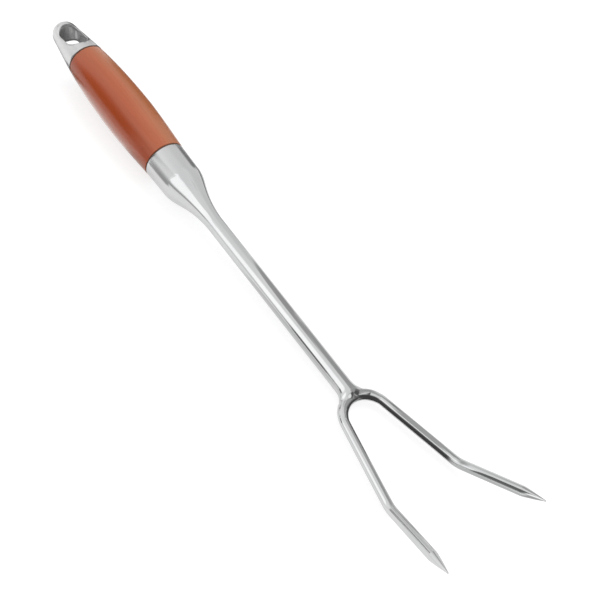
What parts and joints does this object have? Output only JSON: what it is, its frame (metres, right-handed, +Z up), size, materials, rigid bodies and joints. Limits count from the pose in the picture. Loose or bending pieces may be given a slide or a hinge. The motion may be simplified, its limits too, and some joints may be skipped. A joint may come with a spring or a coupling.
{
  "type": "carving fork",
  "caption": "Long barbecue carving fork: pointed tines bent from steel rod on a tubular shaft, with a turned wooden grip between a flared steel bolster and a slotted cap for hanging.",
  "frame": {"origin": "on the table, under the middle of the fork's box", "axes": "+X from the cap to the tines, +Z up with the tines' points turned up, +Y to the left seen from the handle"},
  "size_m": [0.4498, 0.0722, 0.0334],
  "materials": {
    "satin_steel": "satin stainless steel",
    "polished_steel": "polished stainless steel with fine drawn lines",
    "plain_steel": "plain drawn steel",
    "red_wood": "satin lacquered reddish-brown hardwood",
    "dark_fibre": "matt dark fibre"
  },
  "bodies": {
    "root": {"end_cap": "satin_steel", "rear_seam_washer": "dark_fibre", "handle_grip": "red_wood", "front_seam_washer": "dark_fibre", "tang_rod": "plain_steel", "bolster_plug": "plain_steel", "bolster": "polished_steel", "shaft_tube": "polished_steel", "crotch_weld": "polished_steel", "fork_rod": "polished_steel"}
  },
  "joints": []
}
